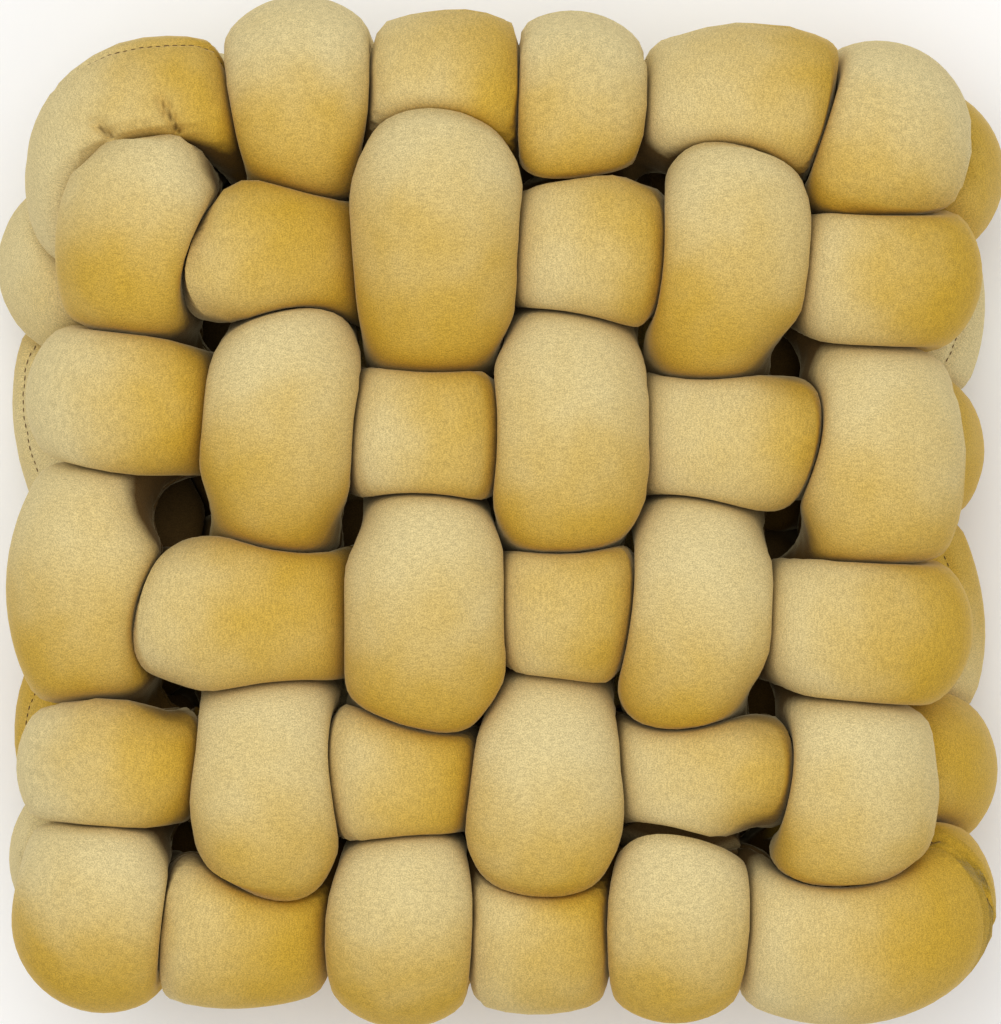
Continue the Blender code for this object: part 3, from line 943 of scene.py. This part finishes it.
@dataclass(frozen=True)
class Velvet:
    """Short-pile mustard velvet: pale where its pile is brushed one way, gold where it is brushed the other, a painted
    sheen and a painted shade of the pile.

    Attributes:
        pale: The colour where the tube climbs out of the weave, a painted sheen of the pile.
        gold: The colour where it dives back in, a painted shade of the pile.
        painted_shade: The painted shade's dark brown, where two stretches press together, deep in the open gaps and
            along the creases.
        painted_shade_range: The least and most pressed share between which that painted shade comes in, and how much of
            it.
        nap_range: From where to where, in the pile's lie, the colour goes from pale to gold, from painted sheen to
            painted shade.
        brushing: How uneven the lie of the pile is, in clouds of brushed_size.
        detail: How much finer clouds and streaks get within themselves; grain_detail is the same for the grain.
        flecks: How much of the pile's grain and how much of its streaks make its flecks.
        fleck_range: From where to where in these flecks the cloth goes through its fleck_shades.
        fleck_bump: How strongly the flecks stand out, and how high.
    """

    name: str = "velvet"
    pale: Triple = (0.70, 0.575, 0.285)
    gold: Triple = (0.575, 0.355, 0.035)
    painted_shade: Triple = (0.09, 0.044, 0.008)
    painted_shade_range: Triple = (0.17, 0.34, 0.95)
    sheen_tint: Triple = (1.0, 0.82, 0.45)
    sheen: float = 0.3
    sheen_roughness: float = 0.25
    roughness: float = 0.85
    specular: float = 0.15
    nap_range: tuple[float, float] = (0.12, 0.95)
    nap_tilt: float = 0.06
    brushing: float = 0.5
    brushed_size: float = 26 * MM
    detail: float = 2.0
    grain_size: float = 0.37 * MM
    grain_detail: float = 1.0
    streak_size: tuple[float, float] = (0.35 * MM, 2.2 * MM)
    flecks: tuple[float, float] = (0.7, 0.3)
    fleck_range: tuple[float, float] = (0.36, 0.64)
    fleck_shades: tuple[float, float] = (0.76, 1.2)
    fleck_bump: tuple[float, float] = (0.35, 0.3 * MM)

    def material(self) -> bpy.types.Material:
        """Builds the cloth's node material.

        Returns:
            The material.
        """
        material, nodes = new_material(self.name)
        cloth = nodes.add("ShaderNodeUVMap", uv_map="cloth").outputs[0]
        place = nodes.add("ShaderNodeTexCoord").outputs["Object"]
        nap = nodes.add("ShaderNodeAttribute", attribute_name="nap").outputs["Fac"]
        pressed = nodes.add("ShaderNodeAttribute", attribute_name="pressed").outputs["Fac"]
        along, around = self.streak_size
        stretched = nodes.add("ShaderNodeMapping", {"Vector": cloth, "Scale": (1 / along, 1 / around, 1)}).outputs[0]
        clouds = nodes.math("SUBTRACT", nodes.noise(place, self.brushed_size, self.detail), 0.5)
        # Painted sheen and painted shade: the colour runs from pale where the tube climbs out of the weave to gold
        # where it dives in.
        lie = nodes.math("ADD", nap, nodes.math("MULTIPLY", clouds, self.brushing))
        depth = nodes.mapped(lie, *self.nap_range, 0, 1, interpolation_type="SMOOTHSTEP")
        painted_sheen_and_shade = nodes.mix(depth, (*self.pale, 1), (*self.gold, 1))
        # Painted shade: where stretches press together, deep in the open gaps and along the creases, the colour goes
        # dark brown.
        low, high, most = self.painted_shade_range
        colour = nodes.mix(nodes.mapped(pressed, low, high, 0, most), painted_sheen_and_shade, (*self.painted_shade, 1))
        grain = nodes.math("MULTIPLY", nodes.noise(place, self.grain_size, self.grain_detail), self.flecks[0])
        streaks = nodes.math("MULTIPLY", nodes.noise(stretched, 1, self.detail), self.flecks[1])
        fleck = nodes.math("ADD", grain, streaks)
        shade = nodes.mapped(fleck, *self.fleck_range, *self.fleck_shades)
        shaded = nodes.add("ShaderNodeVectorMath", {0: colour, 1: shade}, operation="MULTIPLY").outputs[0]
        tilt = (0.5 - self.nap_tilt / 2, 0.5, 1, 1)
        leaning = nodes.add("ShaderNodeNormalMap", {"Color": tilt}, uv_map="cloth").outputs[0]
        strength, height = self.fleck_bump
        bump = {"Height": fleck, "Strength": strength, "Distance": height, "Normal": leaning}
        shader = nodes.add("ShaderNodeBsdfPrincipled", {
            "Base Color": shaded, "Roughness": self.roughness, "Specular IOR Level": self.specular,
            "Sheen Weight": self.sheen, "Sheen Roughness": self.sheen_roughness,
            "Sheen Tint": (*self.sheen_tint, 1), "Normal": nodes.add("ShaderNodeBump", bump).outputs[0],
        })
        nodes.add("ShaderNodeOutputMaterial", {"Surface": shader.outputs[0]})
        return material


@dataclass(frozen=True)
class Thread:
    """The seam's sewing thread, a dark brown, darker still in its plies: real stitches, whose dark brown is painted
    shade of the sunk stitch holes between them.
    """

    name: str = "sewing_thread_painted_shade"
    # Dark brown: painted shade of the stitch holes.
    colour: Triple = (0.16, 0.085, 0.018)
    dark_share: float = 0.6
    roughness: float = 0.7
    ply_size: float = 0.35 * MM
    ply_detail: float = 2.0

    def material(self) -> bpy.types.Material:
        """Builds the thread's node material.

        Returns:
            The material.
        """
        material, nodes = new_material(self.name)
        place = nodes.add("ShaderNodeTexCoord").outputs["Object"]
        ply = nodes.noise(place, self.ply_size, self.ply_detail)
        dark = tuple(self.dark_share * value for value in self.colour)
        colour = nodes.mix(ply, (*dark, 1), (*self.colour, 1))
        shader = nodes.add("ShaderNodeBsdfPrincipled", {"Base Color": colour, "Roughness": self.roughness})
        nodes.add("ShaderNodeOutputMaterial", {"Surface": shader.outputs[0]})
        return material


@dataclass(frozen=True)
class Backdrop:
    """The pale paper that the cushion lies on."""

    name: str = "pale_paper"
    colour: Triple = (0.98, 0.98, 0.98)
    roughness: float = 0.9

    def material(self) -> bpy.types.Material:
        """Builds the paper's material.

        Returns:
            The material.
        """
        material, nodes = new_material(self.name)
        plain = {"Base Color": (*self.colour, 1), "Roughness": self.roughness}
        shader = nodes.add("ShaderNodeBsdfPrincipled", plain)
        nodes.add("ShaderNodeOutputMaterial", {"Surface": shader.outputs[0]})
        return material


@dataclass
class WovenTube:
    """The cushion itself: the endless tube and its sewn seam."""

    rings: int = 2500
    sides: int = 52
    weave: Weave = field(default_factory=Weave)
    settling: Settling = field(default_factory=Settling)
    filling: Filling = field(default_factory=Filling)
    seam: Seam = field(default_factory=Seam)
    velvet: Velvet = field(default_factory=Velvet)
    thread: Thread = field(default_factory=Thread)
    creases: tuple[Crease, ...] = (
        Crease(((-99, 122), (-96.5, 116.5), (-93, 110)), 104 * MM),
        Crease(((-119, 114), (-116.5, 112), (-112.5, 108.5)), 98 * MM),
    )
    middle_height: float = 45 * MM
    outward_weights: Triple = (0.05, 0.05, 1)
    outward_easing: float = 48 * MM
    # How much further towards gold the levels' colour lies: painted shade.
    level_painted_shade: float = 0.1
    # Painted shade deep in the open gaps: the heights over which it fades, how far it spreads and how strong it is;
    # turn_fold is how far round the lower right turn no painted shade of pressing is laid.
    gap_depths: tuple[float, float] = (92 * MM, 20 * MM)
    gap_spread: float = 49 * MM
    gap_shade: float = 0.3
    turn_fold: float = 45 * MM

    def skin(self) -> Skin:
        """Weaves, settles and fills the tube.

        Returns:
            Its surface, before it is centred.
        """
        strand = self.settling.settled(self.weave.stops())
        turns = self.seam.turns(self.sides, self.filling.girth / (2 * math.pi))
        skin = self.filling.rings(strand, self.weave.gaps(), self.rings, turns)
        self.filling.fill(skin)
        self.filling.part(skin)
        self.seam.press(skin)
        LOG.info("tube %.2f m long", length_of(strand[:, :3]))
        return skin

    def nap(self, skin: Skin) -> np.ndarray:
        """How the pile lies, which sets the cloth's painted sheen and painted shade.

        Args:
            skin: The tube's skin.

        Returns:
            A number for each ring, from 0 where the tube climbs out of the weave to 1 where it dives in.
        """
        off_middle = (skin.centres - (0, 0, self.middle_height)) * self.outward_weights
        outward = unit(eased(off_middle, self.outward_easing / skin.step))
        lie = 0.5 - 0.5 * (skin.tangents * outward).sum(axis=1)
        return lie + self.level_painted_shade * skin.tangents[:, 0] ** 2

    def painted_shade_amount(self, skin: Skin) -> np.ndarray:
        """How much painted shade each point gets: most where stretches press together and deep in the open gaps, least
        in the lower right turn.

        Args:
            skin: The tube's skin.

        Returns:
            A number for each point.
        """
        points = skin.points()
        top, fade = self.gap_depths
        deep = np.clip((top - points[:, :, 2]) / fade, 0, 1) * np.clip(points[:, :, 2] / fade - 1, 0, 1)
        near = [
            np.exp(-((points[:, :, :2] - gap[:2]) ** 2).sum(axis=2) / (gap[2] * self.gap_spread))
            for gap in self.weave.gaps()
        ]
        off_turn = points - np.mean(self.weave.lower_right_turn_mm, axis=0) * MM
        folded = np.exp(-(((off_turn**2).sum(axis=2) / self.turn_fold**2) ** 2))
        return skin.pressed * (1 - folded) + self.gap_shade * deep * np.max(near, axis=0)

    def mesh(self, skin: Skin, points: np.ndarray) -> bpy.types.Mesh:
        """The tube's closed mesh.

        Args:
            skin: The tube's skin.
            points: Its surface, centred.

        Returns:
            The mesh, with its cloth map and the lie of its pile.
        """
        rings, sides = skin.reach.shape
        faces = ring_faces(rings, sides)
        mesh = bpy.data.meshes.new("velvet_tube")
        mesh.from_pydata(points.reshape(-1, 3).tolist(), [], faces.tolist())
        ring, side = np.divmod(np.arange(rings * sides), sides)
        turns = np.append(skin.turns, 2 * math.pi) / (2 * math.pi) * self.filling.girth
        u = np.stack([ring, ring + 1, ring + 1, ring], axis=1) * skin.step
        v = turns[np.stack([side, side, side + 1, side + 1], axis=1)]
        cloth = mesh.uv_layers.new(name="cloth")
        cloth.uv.foreach_set("vector", np.stack([u, v], axis=2).astype(np.float32).ravel())
        record(mesh, "nap", np.repeat(self.nap(skin), sides))
        # The attribute pressed carries the amount of painted shade.
        record(mesh, "pressed", self.painted_shade_amount(skin).ravel())
        record(mesh, "along", ring * skin.step)
        mesh.shade_smooth()
        mesh.validate()
        return mesh

    def build(self) -> list[bpy.types.Object]:
        """Builds and dresses the tube and its stitches.

        Returns:
            The two pieces, the tube first.
        """
        skin = self.skin()
        points = skin.points()
        low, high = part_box(NODE)
        offset = (np.array(low) + np.array(high)) / 2 - (points.min(axis=(0, 1)) + points.max(axis=(0, 1))) / 2
        offset[2] = 0
        points = points + offset
        tube = link("velvet_tube", self.mesh(skin, points))
        for crease in self.creases:
            crease.press(tube.data)
        tube.data.materials.append(self.velvet.material())
        return [tube, self.stitches(skin, points)]

    def stitches(self, skin: Skin, points: np.ndarray) -> bpy.types.Object:
        """The seam's stitches, laid along its sunk line.

        Args:
            skin: The tube's skin, whose first rays face the seam.
            points: Its surface, centred.

        Returns:
            The piece.
        """
        line = points[:, 0] + self.seam.thread_radius * skin.rays[:, 0]
        count = len(line)
        mesh = bpy.data.meshes.new("seam_stitches")
        mesh.from_pydata(line.tolist(), [(i, (i + 1) % count) for i in range(count)], [])
        record(mesh, "up", skin.rays[:, 0])
        obj = link("seam_stitches", mesh)
        grow(obj, stitch_tree(self.thread.material()), {
            "Stitch Pitch": self.seam.stitch_pitch,
            "Stitch Length": self.seam.stitch_length,
            "Thread Radius": self.seam.thread_radius,
            "Seed": self.seam.seed,
        })
        return obj


def stitch_tree(thread: bpy.types.Material) -> bpy.types.NodeTree:
    """The Geometry Nodes tree that lays stitches along a line.

    Args:
        thread: The stitches' material.

    Returns:
        The tree, with inputs for the stitches' pitch, length, thickness and seed.
    """
    tree = bpy.data.node_groups.new("lay_stitches", "GeometryNodeTree")
    nodes = Nodes(tree)
    sockets = {
        "Geometry": "NodeSocketGeometry", "Stitch Pitch": "NodeSocketFloat", "Stitch Length": "NodeSocketFloat",
        "Thread Radius": "NodeSocketFloat", "Seed": "NodeSocketInt",
    }
    for name, kind in sockets.items():
        tree.interface.new_socket(name, in_out="INPUT", socket_type=kind)
    tree.interface.new_socket("Geometry", in_out="OUTPUT", socket_type="NodeSocketGeometry")
    given = nodes.add("NodeGroupInput").outputs
    curve = nodes.add("GeometryNodeMeshToCurve", {"Mesh": given["Geometry"]}).outputs[0]
    points = nodes.add(
        "GeometryNodeResampleCurve", {"Curve": curve, "Length": given["Stitch Pitch"]}, mode="LENGTH"
    ).outputs[0]
    up = nodes.add("GeometryNodeInputNamedAttribute", {"Name": "up"}, data_type="FLOAT_VECTOR").outputs[0]
    tangent = nodes.add("GeometryNodeInputTangent").outputs[0]
    raised = nodes.add("FunctionNodeAlignRotationToVector", {"Vector": up}, axis="Z").outputs[0]
    turned = nodes.add(
        "FunctionNodeAlignRotationToVector", {"Rotation": raised, "Vector": tangent}, axis="X", pivot_axis="Z"
    ).outputs[0]
    ball = nodes.add("GeometryNodeMeshUVSphere", STITCH_BALL).outputs[0]
    half = nodes.math("MULTIPLY", given["Stitch Length"], 0.5)
    size = nodes.add("ShaderNodeCombineXYZ", {0: half, 1: given["Thread Radius"], 2: given["Thread Radius"]})
    stitch = nodes.add("GeometryNodeTransform", {"Geometry": ball, "Scale": size.outputs[0]}).outputs[0]
    uneven = nodes.add(
        "FunctionNodeRandomValue", {**STITCH_UNEVENNESS, "Seed": given["Seed"]}, data_type="FLOAT"
    )
    placed = nodes.add("GeometryNodeInstanceOnPoints", {
        "Points": points, "Instance": stitch, "Rotation": turned, "Scale": uneven.outputs[1],
    }).outputs[0]
    real = nodes.add("GeometryNodeRealizeInstances", {"Geometry": placed}).outputs[0]
    dressed = nodes.add("GeometryNodeSetMaterial", {"Geometry": real, "Material": thread}).outputs[0]
    nodes.add("NodeGroupOutput", {"Geometry": dressed})
    return tree


def grow(obj: bpy.types.Object, tree: bpy.types.NodeTree, values: dict[str, float]) -> None:
    """Runs a Geometry Nodes tree on an object and keeps the plain mesh that it makes.

    Args:
        obj: The object, whose mesh is replaced.
        tree: The tree.
        values: What its named inputs are set to.
    """
    modifier = obj.modifiers.new(tree.name, "NODES")
    modifier.node_group = tree
    for item in tree.interface.items_tree:
        if item.item_type == "SOCKET" and item.in_out == "INPUT" and item.name in values:
            modifier[item.identifier] = values[item.name]
    made = bpy.data.meshes.new_from_object(obj.evaluated_get(bpy.context.evaluated_depsgraph_get()))
    obj.modifiers.remove(modifier)
    obj.data = made
    made.name = obj.name


@dataclass(frozen=True)
class Light:
    """A square soft light that faces the cushion."""

    name: str
    place: Triple
    side: float
    watts: float

    def hang(self, target: Triple) -> None:
        """Hangs the light so that it faces this point.

        Args:
            target: The point.
        """
        data = bpy.data.lights.new(self.name, "AREA")
        data.size = self.side
        data.energy = self.watts
        light = link(self.name, data)
        light.location = self.place
        light.rotation_euler = (Vector(target) - Vector(self.place)).to_track_quat("-Z", "Y").to_euler()
        light.visible_camera = False


@dataclass(frozen=True)
class Studio:
    """The floor, the lights and the camera straight above the cushion's face.

    Attributes:
        pixel: The size at the face that one pixel of the frame shows.
        face_height: The height of the face, where that size holds.
    """

    frame_width_px: int = 1001
    pixel: float = 0.291 * MM
    face_height: float = 104 * MM
    camera_distance: float = 1.6
    sensor: float = 36.0
    floor_size: float = 12.0
    world_strength: float = 0.5
    lights: tuple[Light, ...] = (
        Light("key", (-0.3, 0.35, 2.2), 1.5, 26), Light("fill", (0.9, -0.5, 1.9), 2.0, 7),
    )

    def camera(self) -> None:
        """The camera, which looks straight down at the face."""
        data = bpy.data.cameras.new("camera")
        data.sensor_fit = "HORIZONTAL"
        data.sensor_width = self.sensor
        data.lens = self.sensor * self.camera_distance / (self.pixel * self.frame_width_px)
        camera = link("camera", data)
        camera.location = (0, 0, self.face_height + self.camera_distance)
        bpy.context.scene.camera = camera

    def floor(self) -> None:
        """The pale floor."""
        plane = bmesh.new()
        bmesh.ops.create_grid(plane, x_segments=1, y_segments=1, size=self.floor_size / 2)
        mesh = bpy.data.meshes.new("floor")
        plane.to_mesh(mesh)
        plane.free()
        mesh.materials.append(Backdrop().material())
        floor = link("floor", mesh)

    def build(self) -> None:
        """Builds the studio."""
        self.camera()
        self.floor()
        for light in self.lights:
            light.hang((0, 0, self.face_height))
        world = bpy.data.worlds.new("studio")
        world.use_nodes = True
        background = world.node_tree.nodes["Background"]
        background.inputs["Color"].default_value = (1, 1, 1, 1)
        background.inputs["Strength"].default_value = self.world_strength
        bpy.context.scene.world = world
        bpy.context.scene.view_settings.view_transform = "Standard"


def main() -> None:
    """Builds the cushion and the studio, and says what each piece came to."""
    logging.basicConfig(level=logging.INFO, format="%(message)s")
    Studio().build()
    tube, stitches = WovenTube().build()
    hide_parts(NODE)
    for piece in (tube, stitches):
        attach(piece, BODY)
        LOG.info("%s: %d faces", piece.name, len(piece.data.polygons))


if __name__ == "__main__":
    main()
